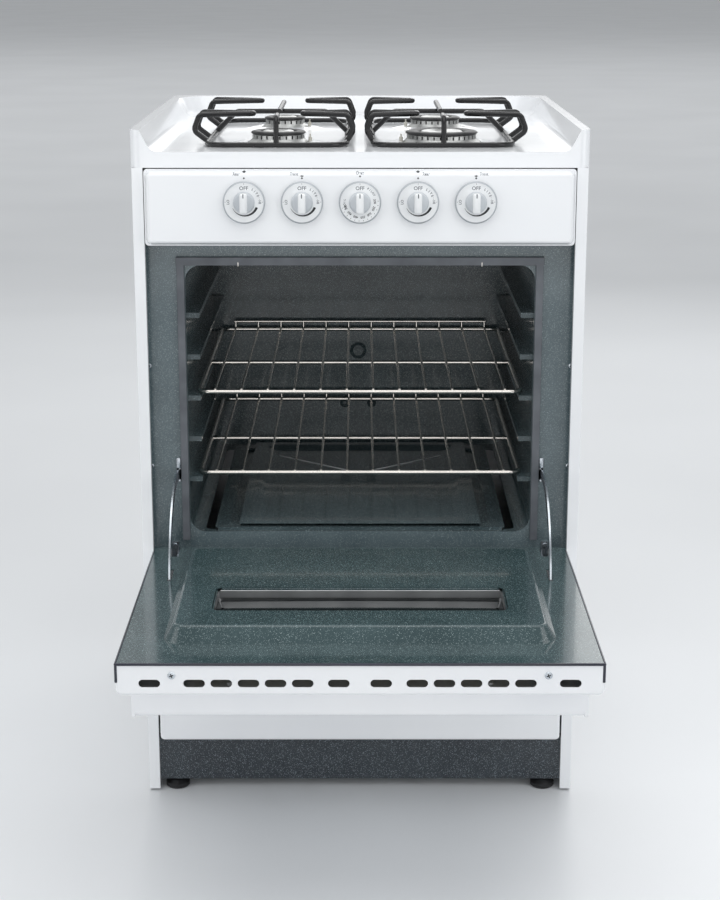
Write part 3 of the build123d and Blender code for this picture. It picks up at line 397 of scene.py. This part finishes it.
def lathe(profile, steps=64, close=False):
    """A shape spun about the local Z axis, from radius and height pairs in millimetres."""
    made = bmesh.new()
    ring = [made.verts.new((r * MM, 0, h * MM)) for r, h in profile]
    pairs = list(zip(ring, ring[1:])) + ([(ring[-1], ring[0])] if close else [])
    edges = [made.edges.new(pair) for pair in pairs]
    bmesh.ops.spin(made, geom=ring + edges, cent=(0, 0, 0), axis=(0, 0, 1),
                   angle=2 * math.pi, steps=steps, use_merge=True)
    bmesh.ops.remove_doubles(made, verts=made.verts, dist=1e-6)
    bmesh.ops.recalc_face_normals(made, faces=made.faces)
    return made


def slab(size_mm, bevel_mm=0.0, segments=3):
    """A block of a size centred on the origin, with rounded edges."""
    made = bmesh.new()
    bmesh.ops.create_cube(made, size=1.0)
    bmesh.ops.scale(made, vec=Vector(size_mm) * MM, verts=made.verts)
    if bevel_mm:
        bmesh.ops.bevel(made, geom=made.edges, offset=bevel_mm * MM, segments=segments,
                        profile=0.5, affect="EDGES", material=-1)
    return made


def rod(start, end, radius_mm, steps=16):
    """A round rod from one point to another, its ends rounded over."""
    run = Vector(end) - Vector(start)
    made = bmesh.new()
    bmesh.ops.create_cone(made, cap_ends=True, segments=steps, radius1=radius_mm * MM,
                          radius2=radius_mm * MM, depth=run.length)
    rims = [e for e in made.edges if abs(e.verts[0].co.z - e.verts[1].co.z) < 1e-7]
    bmesh.ops.bevel(made, geom=rims, offset=radius_mm * 0.4 * MM, segments=2, profile=0.5,
                    affect="EDGES", material=-1)
    turn = run.to_track_quat("Z", "Y").to_matrix().to_4x4()
    turn.translation = (Vector(start) + Vector(end)) / 2
    bmesh.ops.transform(made, matrix=turn, verts=made.verts)
    return made


def join(*shapes):
    """Several shapes as one."""
    whole = bmesh.new()
    for shape in shapes:
        part = bpy.data.meshes.new("part")
        shape.to_mesh(part)
        shape.free()
        whole.from_mesh(part)
        bpy.data.meshes.remove(part)
    return whole


def moved(made, place, turn=None):
    """Moves a shape to a place, after turning it."""
    matrix = Matrix.Translation(Vector(place)) @ (turn or Matrix.Identity(4))
    bmesh.ops.transform(made, matrix=matrix, verts=made.verts)
    return made


def facing_front():
    """The turn that lays local XY on a front face: local Z points out of the range."""
    return Matrix.Rotation(math.radians(90), 4, "X")


FONT_PER_HEIGHT = 1.35  # the font's size for one unit of capital height
ROUNDING_ANGLE = 32  # degrees, above which a refined edge is rounded


def letters(text, height_mm, at_mm, spin=0.0):
    """Flat printed letters of a height, centred at a place in local XY and turned."""
    curve = bpy.data.curves.new("print", "FONT")
    curve.body = text
    curve.size = height_mm * FONT_PER_HEIGHT * MM
    curve.align_x = "CENTER"
    curve.align_y = "CENTER"
    curve.resolution_u = 3
    curve.offset = STROKE_MM * MM
    thing = bpy.data.objects.new("print", curve)
    mesh = bpy.data.meshes.new_from_object(thing)
    made = bmesh.new()
    made.from_mesh(mesh)
    bpy.data.objects.remove(thing)
    bpy.data.curves.remove(curve)
    bpy.data.meshes.remove(mesh)
    place = Vector((at_mm[0] * MM, at_mm[1] * MM, 0))
    return moved(made, place, Matrix.Rotation(spin, 4, "Z"))


def print_film(made):
    """Gives a flat print the thickness of its ink."""
    bmesh.ops.remove_doubles(made, verts=made.verts, dist=1e-7)
    bmesh.ops.recalc_face_normals(made, faces=made.faces)
    bmesh.ops.solidify(made, geom=made.faces[:], thickness=INK_MM * MM)
    return made


def refined(name, body, finish, round_mm, segments, merge_angle=1.0):
    """A copy of a CAD node with its triangles merged and its sharp edges rounded."""
    made = bmesh.new()
    made.from_mesh(nodes[name].data)
    bmesh.ops.remove_doubles(made, verts=made.verts, dist=1e-5)
    bmesh.ops.dissolve_limit(made, angle_limit=math.radians(merge_angle), verts=made.verts,
                             edges=made.edges)
    thing = piece(name + "_finished", made, finish, body)
    rounding = thing.modifiers.new("rounded_edges", "BEVEL")
    rounding.width = round_mm * MM
    rounding.segments = segments
    rounding.limit_method = "ANGLE"
    rounding.angle_limit = math.radians(ROUNDING_ANGLE)
    rounding.harden_normals = True
    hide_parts(name)


# ---------------------------------------------------------------- knobs and their prints

# Sizes in millimetres.
INK_MM = 0.08
STROKE_MM = 0.09
DIAL_R = 28.0
BARREL_R = 14.0
DIAL_H = 3.5
BLADE = (10.2, 27.0)  # the grip's width and length
OFF_HEIGHT, WORD_HEIGHT, SMALL_HEIGHT, SIGN_HEIGHT = 5.0, 3.2, 2.8, 3.6
OFF_REACH = 18.8
RIM_FACE, POINTER_FACE, HUB_SHADE_FACE = 1, 2, 3  # material places on a knob; its face is 0
BURNER_KNOBS = (1, 2, 4, 5)
OVEN_KNOB = 3


def knob_middle(number):
    """The centre of a knob's back."""
    low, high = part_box("knob_%d" % number)
    return Vector(((low[0] + high[0]) / 2, high[1], (low[2] + high[2]) / 2))


def build_knob(number):
    """A dial with a satin rim, a low hub and a rounded grip blade across it."""
    low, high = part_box("knob_%d" % number)
    depth = (high[1] - low[1]) / MM
    dial = lathe([(0, 0.4), (DIAL_R - 1.2, 0.4), (DIAL_R, 1.2), (DIAL_R, 2.2),
                  (DIAL_R - 0.5, 2.9), (DIAL_R - 2.0, DIAL_H + 0.15), (DIAL_R - 2.4, DIAL_H),
                  (BARREL_R + 1.6, DIAL_H), (BARREL_R + 0.5, DIAL_H + 0.4),
                  (BARREL_R, DIAL_H + 1.2), (BARREL_R - 0.7, 11.0), (BARREL_R - 1.8, 12.4),
                  (BARREL_R - 4.0, 13.0), (0, 13.2)], 96)
    for face in dial.faces:
        middle = face.calc_center_median()
        reach = math.hypot(middle.x, middle.y) / MM
        if DIAL_R - 2.1 < reach and middle.z > 2.2 * MM:
            face.material_index = RIM_FACE
        # The hub round the grip takes a grey of painted shade.
        if reach < BARREL_R + 0.6 and middle.z > (DIAL_H + 0.3) * MM:
            face.material_index = HUB_SHADE_FACE
    blade = slab((*BLADE, depth - 4.0), 3.2, 4)
    for corner in blade.verts:
        spread = 1.0 + 0.16 * max(0.0, -corner.co.z) / (depth / 2 * MM)
        corner.co.x *= spread
    moved(blade, (0, 0, (depth / 2 + 2.0) * MM))
    pointer = moved(slab((1.3, 5.4, 0.3), 0.1, 1), (0, 10.6 * MM, (depth - 0.02) * MM))
    for face in pointer.faces:
        face.material_index = POINTER_FACE
    whole = moved(join(dial, blade, pointer), knob_middle(number), facing_front())
    made = piece("control_knob_%d" % number, whole, [KNOB, DIAL_EDGE, INK, HUB_PAINTED_SHADE],
                 "knob_%d" % number)
    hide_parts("knob_%d" % number)


def swelling_arc(start, end, inner, wide, thin):
    """A flat arc between two angles that grows from thin to wide."""
    made = bmesh.new()
    bmesh.ops.create_grid(made, x_segments=28, y_segments=1, size=0.5)
    for corner in made.verts:
        along = corner.co.x + 0.5
        across = corner.co.y + 0.5
        angle = start + (end - start) * along
        reach = (inner + across * (thin + (wide - thin) * along)) * MM
        corner.co = (reach * math.cos(angle), reach * math.sin(angle), 0)
    return made


def tick(angle, reach, length, width):
    """A short printed line that points at the middle of the dial."""
    made = bmesh.new()
    bmesh.ops.create_grid(made, x_segments=1, y_segments=1, size=0.5)
    bmesh.ops.scale(made, vec=(length * MM, width * MM, 1), verts=made.verts)
    turn = Matrix.Rotation(angle, 4, "Z")
    return moved(made, turn @ Vector((reach * MM, 0, 0)), turn)


def round_text(words, height, reach, first, step):
    """Letters or numbers set round the dial, each upright to its radius."""
    shapes = []
    for place, word in enumerate(words):
        angle = math.radians(first - place * step)
        at = (reach * math.cos(angle), reach * math.sin(angle))
        shapes.append(letters(word, height, at, angle - math.pi / 2))
    return shapes


def set_on_dial(number, grey, dark):
    """Lays the two colours of a dial's print on its face."""
    place = knob_middle(number) - Vector((0, (DIAL_H + 0.01) * MM, 0))
    for shapes, finish, colour in ((grey, INK, "grey"), (dark, BLACK_INK_AND_RECESS_SHADE, "dark")):
        made = moved(print_film(join(*shapes)), place, facing_front())
        piece("dial_print_%s_%d" % (colour, number), made, finish, "knob_%d" % number)


def build_burner_dial(number):
    """OFF at the top, LITE to HI down the right, a swelling arc, and LO on the left."""
    grey = [letters("OFF", OFF_HEIGHT, (0, OFF_REACH))]
    grey += round_text("LITE", WORD_HEIGHT, 20.6, 56, 10)
    grey += round_text(["HI"], SIGN_HEIGHT, 20.8, 2, 0)
    grey += round_text(["LO"], SIGN_HEIGHT, 20.8, 178, 0)
    grey += [tick(math.radians(a), 24.6, 1.6, 0.5) for a in (90, 2, 178)]
    grey += [tick(math.radians(a), 21.0, 0.7, 0.7) for a in range(12, 30, 6)]
    dark = [swelling_arc(math.radians(205), math.radians(340), 16.4, 3.2, 0.3)]
    set_on_dial(number, grey, dark)


def build_oven_dial(number):
    """OFF at the top, then temperatures clockwise round to BROIL."""
    grey = [letters("OFF", OFF_HEIGHT, (0, OFF_REACH)), tick(math.radians(90), 24.6, 1.6, 0.5)]
    grey += round_text("PILOT", SMALL_HEIGHT, 21.0, 60, 8)
    temperatures = ["200", "250", "300", "350", "400", "450", "500"]
    dark = round_text(temperatures, 3.1, 19.4, 5, 28)
    dark += [tick(math.radians(5 - 14 * i), 24.0, 1.4, 0.55) for i in range(13)]
    grey += round_text("BROIL", SMALL_HEIGHT, 20.6, 203, 8.5)
    set_on_dial(number, grey, dark)


def lozenge(x, z, wide, tall, line=0.0):
    """A printed diamond, solid or as an outline."""
    made = bmesh.new()
    bmesh.ops.create_circle(made, cap_ends=True, segments=4, radius=0.5)
    bmesh.ops.scale(made, vec=(wide * MM, tall * MM, 1), verts=made.verts)
    if line:
        bmesh.ops.inset_region(made, faces=made.faces, thickness=line * MM)
        inner = min(made.faces, key=lambda f: f.calc_center_median().length)
        bmesh.ops.delete(made, geom=[inner], context="FACES_ONLY")
    return moved(made, (x * MM, z * MM, 0))


def build_panel_print():
    """Names and burner marks over the knobs, pressed on to the face of the panel."""
    panel = bmesh.new()
    panel.from_mesh(nodes["control_panel"].data)
    face = BVHTree.FromBMesh(panel)
    panel.free()
    names = ["Rear", "Front", "Oven", "Rear", "Front"]
    grey, dark = [], []
    for number, name in enumerate(names, 1):
        middle = knob_middle(number)
        x, z = middle.x / MM, middle.z / MM
        side = 1 if number > OVEN_KNOB else -1
        if name == "Oven":
            grey.append(letters(name, SIGN_HEIGHT, (x, z + 37.6)))
        else:
            grey.append(letters(name, SIGN_HEIGHT, (x + side * 10.5, z + 36.4)))
            dark.append(lozenge(x, z + (39.0 if name == "Rear" else 34.2), 5.4, 2.8))
            grey.append(lozenge(x, z + (34.2 if name == "Rear" else 39.0), 5.4, 2.8, 0.5))
        dark.append(lozenge(x, z + (33.8 if name == "Oven" else 31.2), 3.0, 3.0))
    for shapes, finish, colour in ((grey, INK, "grey"), (dark, BLACK_INK_AND_RECESS_SHADE, "dark")):
        made = moved(join(*shapes), (0, 0, 0), facing_front())
        bmesh.ops.triangulate(made, faces=made.faces)
        bmesh.ops.subdivide_edges(made, edges=made.edges, cuts=2, use_grid_fill=True)
        for corner in made.verts:
            hit = face.ray_cast(Vector((corner.co.x, -1.0, corner.co.z)), Vector((0, 1, 0)))[0]
            corner.co.y = hit.y - 0.02 * MM
        bmesh.ops.remove_doubles(made, verts=made.verts, dist=1e-7)
        bmesh.ops.recalc_face_normals(made, faces=made.faces)
        bmesh.ops.solidify(made, geom=made.faces[:], thickness=INK_MM * MM)
        piece("panel_print_" + colour, made, finish, "root")


# ---------------------------------------------------------------- burners and cooktop

BURNERS = ("left_front", "right_front", "left_rear", "right_rear")


def burner_place(name):
    """The middle of a burner cap's underside, and the cap's radius in millimetres."""
    low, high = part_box("burner_cap_" + name)
    middle = Vector(((low[0] + high[0]) / 2, (low[1] + high[1]) / 2, low[2]))
    return middle, (high[0] - low[0]) / 2 / MM - 1


def build_burners():
    """Cast burner heads with a ring of flame ports, their insides black as painted shade, on
    flared seats, as one set.
    """
    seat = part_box("burner_heads")[0][2]
    heads = []
    for name in BURNERS:
        middle, size = burner_place(name)
        ports = 2 * int(2 * math.pi * size / 9.0)
        foot = (seat - middle.z) / MM
        head = lathe([(0, foot), (17, foot), (17, -12.2), (size + 4.5, -12.2),
                      (size + 5.0, -11.6), (size + 3.6, -10.4), (size + 1.2, -8.2),
                      (size - 0.6, -6.4), (size - 1.0, -5.8), (size - 1.0, -1.2),
                      (size - 1.6, -0.3), (size * 0.62, -0.3), (size * 0.58, 3.2),
                      (size * 0.54, 4.2), (size * 0.36, 4.8), (size * 0.30, 3.4),
                      (size * 0.12, 2.4), (0, 2.2)], 2 * ports)
        port_shade_faces = []
        for face in head.faces:
            at = face.calc_center_median()
            turn = math.atan2(at.y, at.x) / (2 * math.pi) % 1.0
            on_band = -5.8 * MM < at.z < -1.2 * MM and math.hypot(at.x, at.y) > size * 0.9 * MM
            if on_band and int(turn * 2 * ports) % 4 == 0:
                port_shade_faces.append(face)
        bmesh.ops.inset_individual(head, faces=port_shade_faces, thickness=0.25 * MM, depth=-2.2 * MM)
        # The port notches take the black cap enamel as painted shade for the dark inside of
        # each port.
        for face in port_shade_faces:
            face.material_index = 1
        heads.append(moved(head, middle))
    made = piece("ported_burner_heads", join(*heads), [BURNER, CAP_ENAMEL_AND_PORT_SHADE], "root")
    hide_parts("burner_heads")


def build_caps():
    """Enamelled burner caps with rounded rims and a dished crown."""
    for name in BURNERS:
        middle, size = burner_place(name)
        thick = (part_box("burner_cap_" + name)[1][2] - middle.z) / MM
        cap = lathe([(size * 0.65, 0), (size * 0.97, 0), (size + 0.4, 0.6), (size + 1, 1.6),
                     (size + 0.3, 2.8), (size - 1.6, thick - 0.7), (size - 4.5, thick),
                     (size * 0.74, thick - 0.2), (size * 0.66, thick - 1.4),
                     (size * 0.645, thick - 2.2)], 96, close=True)
        made = piece("cast_cap_" + name, moved(cap, middle), CAP_ENAMEL_AND_PORT_SHADE, "burner_cap_" + name)
        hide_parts("burner_cap_" + name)


def build_pressings():
    """Low rings pressed up round each burner hole in the cooktop."""
    deck = burner_place("left_front")[0].z - 12.6 * MM
    rings = []
    for name in BURNERS:
        middle, size = burner_place(name)
        ring = lathe([(size + 5.4, 0.1), (size + 5.8, 1.5), (size + 8, 2.4), (size + 12, 2.5),
                      (size + 17, 1.9), (size + 22, 0.9), (size + 26, 0.25), (size + 28, 0.05),
                      (size + 28, -0.3), (size + 5.4, -0.3)], 96, close=True)
        squash = Matrix.Diagonal((1.0, 0.96, 1.0, 1.0))
        bmesh.ops.transform(ring, matrix=squash, verts=ring.verts)
        rings.append(moved(ring, (middle.x, middle.y, deck)))
    piece("burner_bowl_pressings", join(*rings), WHITE, "root")


# ---------------------------------------------------------------- oven mouth and door

# Sizes in millimetres.
CLIP_R = 0.8
RIM_WIDE, RIM_THICK, RIM_ROUND = 3.0, 3.4, 1.3
RIM_CORNER, RIM_CORNER_ROUND = (3.6, 4.0, 24.0), 1.6
PANE_MM = 4.0
PANE_ROUND = 0.6
PANE_DROP = 13.0  # from the frame's top down to the inner pane
WINDOW_LAP = 28.0  # how much smaller the inner pane is than the outer
LIP_WIDE, LIP_TALL, LIP_GAP = 1.4, 3.0, 12.0
SHIELD_MM, SHIELD_GAP = 0.8, 8.0
DOOR_SCREW = (4.6, 1.6)  # a head's radius and height
FRAME_SCREW = (3.4, 1.4)
SCREW_TURNS = (20, 110)  # degrees, the two bars of a cross recess
FLOOR_SHEET = 0.5
BEAD_R = 0.9
ARM_HIGHLIGHT_PLATE = (7.0, 3.4, 15.0)

# Places and gaps in metres.
CLIP_X = 0.165
CLIP_SINK = 0.0006
CLIP_TOP, CLIP_FOOT = 0.0065, 0.0125  # below the top of the seal
RIM_ABOVE = 0.0016
FRAME_SCREW_INSET = 0.012
FRAME_SCREW_SHARES = (0.32, 0.62)  # of the frame's height
FLOOR_MARGIN, FLOOR_SIDE = 0.004, 0.034
FLOOR_FLAT, FLOOR_SLOPE = 0.016, 0.022
FLOOR_LIFT, FLOOR_RISE = 0.0006, 0.0042
BEAD_FROM_BACK, BEAD_ARM = 0.175, (0.130, 0.105)
ARM_HIGHLIGHT_RISE = 0.1405  # from the hinge pin up to the plates that stand in for the arms' highlight
PIN_RISE = 0.009  # from the foot of a hinge bracket to its pin


def build_gasket():
    """Rounded silicone seal on the front frame, held by small wire clips."""
    refined("door_gasket", "root", GASKET, 3.0, 4)
    low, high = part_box("door_gasket")
    y = low[1] + CLIP_SINK
    foot, top = high[2] - CLIP_FOOT, high[2] - CLIP_TOP
    clips = [rod((x, y, foot), (x, y, top), CLIP_R, 10) for x in (-CLIP_X, CLIP_X)]
    piece("gasket_clips", join(*clips), CHROME, "root")


def build_door_rim():
    """The liner's edge, rolled over the end and both sides of the door, coloured blue-black as
    a painted dark reflection.
    """
    low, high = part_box("door_outer_panel")
    top = high[2] + RIM_ABOVE
    span = (high[0] - low[0]) / MM
    reach = (high[1] - low[1]) / MM
    edges = [moved(slab((span + 0.8, RIM_WIDE, RIM_THICK), RIM_ROUND, 4),
                   (0, low[1] - 0.0002, top - 0.0012))]
    for side in (-1, 1):
        edges.append(moved(slab((RIM_WIDE, reach - 14.0, RIM_THICK), RIM_ROUND, 4),
                           (side * (high[0] - 0.0011), (low[1] + high[1]) / 2 - 0.006,
                            top - 0.0012)))
        edges.append(moved(slab(RIM_CORNER, RIM_CORNER_ROUND, 4),
                           (side * (high[0] - 0.0014), low[1] + 0.0012, top - 0.0125)))
    piece("door_rolled_rim", join(*edges), ROLLED_RIM_DARK_REFLECTION, "door")


def build_panes():
    """The two window panes: the outer flush with the door, the inner set down in its frame."""
    low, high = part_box("window_glasses")
    wide, deep = ((high[i] - low[i]) / MM - 1.0 for i in (0, 1))
    x, y = (low[0] + high[0]) / 2, (low[1] + high[1]) / 2
    outer = moved(slab((wide, deep, PANE_MM), PANE_ROUND, 2), (x, y, low[2] + PANE_MM / 2 * MM))
    inner = moved(slab((wide - WINDOW_LAP, deep - WINDOW_LAP, PANE_MM), PANE_ROUND, 2),
                  (x, y, high[2] - (PANE_DROP + PANE_MM / 2) * MM))
    made = piece("window_panes", join(outer, inner), GLASS, "door")
    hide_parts("window_glasses")
    bars = []
    lip_z = high[2] - 0.0012
    half_x, half_y = (wide - WINDOW_LAP) / 2 * MM, (deep - WINDOW_LAP) / 2 * MM
    for side in (-1, 1):
        bars.append(moved(slab((2 * half_x / MM - LIP_GAP, LIP_WIDE, LIP_TALL), 0.6, 3),
                          (x, y + side * (half_y - 0.0008), lip_z)))
        bars.append(moved(slab((LIP_WIDE, 2 * half_y / MM - LIP_GAP, LIP_TALL), 0.6, 3),
                          (x + side * (half_x - 0.0008), y, lip_z)))
    piece("window_lip", join(*bars), LINER, "door")
    shield = []
    wall_z = high[2] - (PANE_DROP / 2 + 1.0) * MM
    tall = PANE_DROP - 3.0
    for side in (-1, 1):
        along = slab((2 * half_x / MM - SHIELD_GAP, SHIELD_MM, tall), 0.3, 1)
        across = slab((SHIELD_MM, 2 * half_y / MM - SHIELD_GAP, tall), 0.3, 1)
        shield.append(moved(along, (x, y + side * (half_y - 0.0016), wall_z)))
        shield.append(moved(across, (x + side * (half_x - 0.0016), y, wall_z)))
    piece("window_heat_shield", join(*shield), ALUMINISED, "door")


def phillips_screw(head_mm, height_mm):
    """A pan-head screw with its cross recess drawn as a dark cross of painted shade, its head
    along local Z.
    """
    made = lathe([(0, 0), (head_mm, 0), (head_mm, height_mm * 0.35),
                  (head_mm * 0.85, height_mm * 0.8), (head_mm * 0.45, height_mm),
                  (0, height_mm)], 32)
    cross = []
    for turn in SCREW_TURNS:
        bar = slab((head_mm * 1.15, head_mm * 0.26, 0.5), 0.1, 1)
        cross.append(moved(bar, (0, 0, (height_mm + 0.02) * MM),
                           Matrix.Rotation(math.radians(turn), 4, "Z")))
    recess_shade = join(*cross)
    # The dark cross is painted shade for the recess.
    for face in recess_shade.faces:
        face.material_index = 1
    return join(made, recess_shade)


def build_screws():
    """Cross-recess screws on the door end and the frame sides."""
    low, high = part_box("door_screws")
    y_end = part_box("door_outer_panel")[0][1]
    heads = []
    for side in (-1, 1):
        x = side * (high[0] - 0.0046)
        heads.append(moved(phillips_screw(*DOOR_SCREW), (x, y_end, (low[2] + high[2]) / 2),
                           facing_front()))
    made = piece("door_end_screws", join(*heads), [ZINC, BLACK_INK_AND_RECESS_SHADE], "door")
    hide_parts("door_screws")
    frame_low, frame_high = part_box("oven_front_frame")
    frame_y = frame_low[1]
    small = []
    for side in (-1, 1):
        for part in FRAME_SCREW_SHARES:
            z = frame_low[2] + (frame_high[2] - frame_low[2]) * part
            x = side * (frame_high[0] - FRAME_SCREW_INSET)
            small.append(moved(phillips_screw(*FRAME_SCREW), (x, frame_y, z), facing_front()))
    piece("frame_screws", join(*small), [ZINC, BLACK_INK_AND_RECESS_SHADE], "root")


def smooth_step(value):
    """Eases from 0 to 1."""
    held = min(max(value, 0.0), 1.0)
    return held * held * (3 - 2 * held)


def build_floor_panel():
    """The oven floor: a pressed sheet with a sunken middle and a V-shaped bead, its near-white
    colour a painted highlight.
    """
    low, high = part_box("oven_floor_panel")
    y0, y1 = low[1] + FLOOR_MARGIN, high[1] - FLOOR_MARGIN
    half = high[0] - FLOOR_SIDE
    made = bmesh.new()
    bmesh.ops.create_grid(made, x_segments=72, y_segments=56, size=0.5)
    bmesh.ops.scale(made, vec=(2 * half, y1 - y0, 1), verts=made.verts)
    for corner in made.verts:
        corner.co.y += (y0 + y1) / 2
        edge = min(half - abs(corner.co.x), corner.co.y - y0, y1 - corner.co.y)
        rise = 1 - smooth_step((edge - FLOOR_FLAT) / FLOOR_SLOPE)
        corner.co.z = high[2] + FLOOR_LIFT + FLOOR_RISE * rise
    bmesh.ops.solidify(made, geom=made.faces[:], thickness=FLOOR_SHEET * MM)
    bmesh.ops.recalc_face_normals(made, faces=made.faces)
    piece("oven_floor_pressing", made, FLOOR_PANEL, "root", 60)
    tip = Vector((0, y1 - BEAD_FROM_BACK, high[2] + 0.0010))
    across, back = BEAD_ARM
    arms = [rod(tip, tip + Vector((side * across, back, 0)), BEAD_R, 12) for side in (-1, 1)]
    piece("oven_floor_bead", join(*arms), BEAD_PAINTED_HIGHLIGHT, "root")


# Each pressing in the back wall: its place across and up in metres, and its radius in mm.
DIMPLES = ((-0.003, 0.540, 11.0), (-0.025, 0.452, 5.0), (0.019, 0.452, 5.0))


def build_back_dimples():
    """Round pressings in the back wall of the oven, the large one over two small."""
    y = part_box("oven_liner")[1][1] - 0.0012
    shapes = []
    for x, z, size in DIMPLES:
        ring = lathe([(size - 2.4, 0), (size - 1.2, 1.6), (size, 2.0), (size + 1.4, 1.2),
                      (size + 2.6, 0)], 40, close=True)
        shapes.append(moved(ring, (x, y, z), facing_front()))
    piece("oven_back_pressings", join(*shapes), OVEN, "root")


def build_arm_highlight_plates():
    """Bright plates round the slots that the hinge arms slide through, standing in for the
    painted highlight on each arm's edge.
    """
    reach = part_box("hinge_arms")[1][0]
    pin_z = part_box("hinge_brackets")[0][2] + PIN_RISE
    frame_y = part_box("oven_front_frame")[0][1]
    plates = []
    for side in (-1, 1):
        x = side * (reach - 0.0012)
        plates.append(moved(slab(ARM_HIGHLIGHT_PLATE, 1.6, 3),
                            (x, frame_y - 0.0018, pin_z + ARM_HIGHLIGHT_RISE)))
    piece("arm_slot_highlight_plates", join(*plates), ZINC, "root")


build_camera()
build_lights()
build_stage()
finish_cad_nodes()
for number in sorted((*BURNER_KNOBS, OVEN_KNOB)):
    build_knob(number)
for number in BURNER_KNOBS:
    build_burner_dial(number)
build_oven_dial(OVEN_KNOB)
build_panel_print()
build_burners()
build_caps()
build_pressings()
build_gasket()
build_door_rim()
build_panes()
build_screws()
build_floor_panel()
build_back_dimples()
build_arm_highlight_plates()
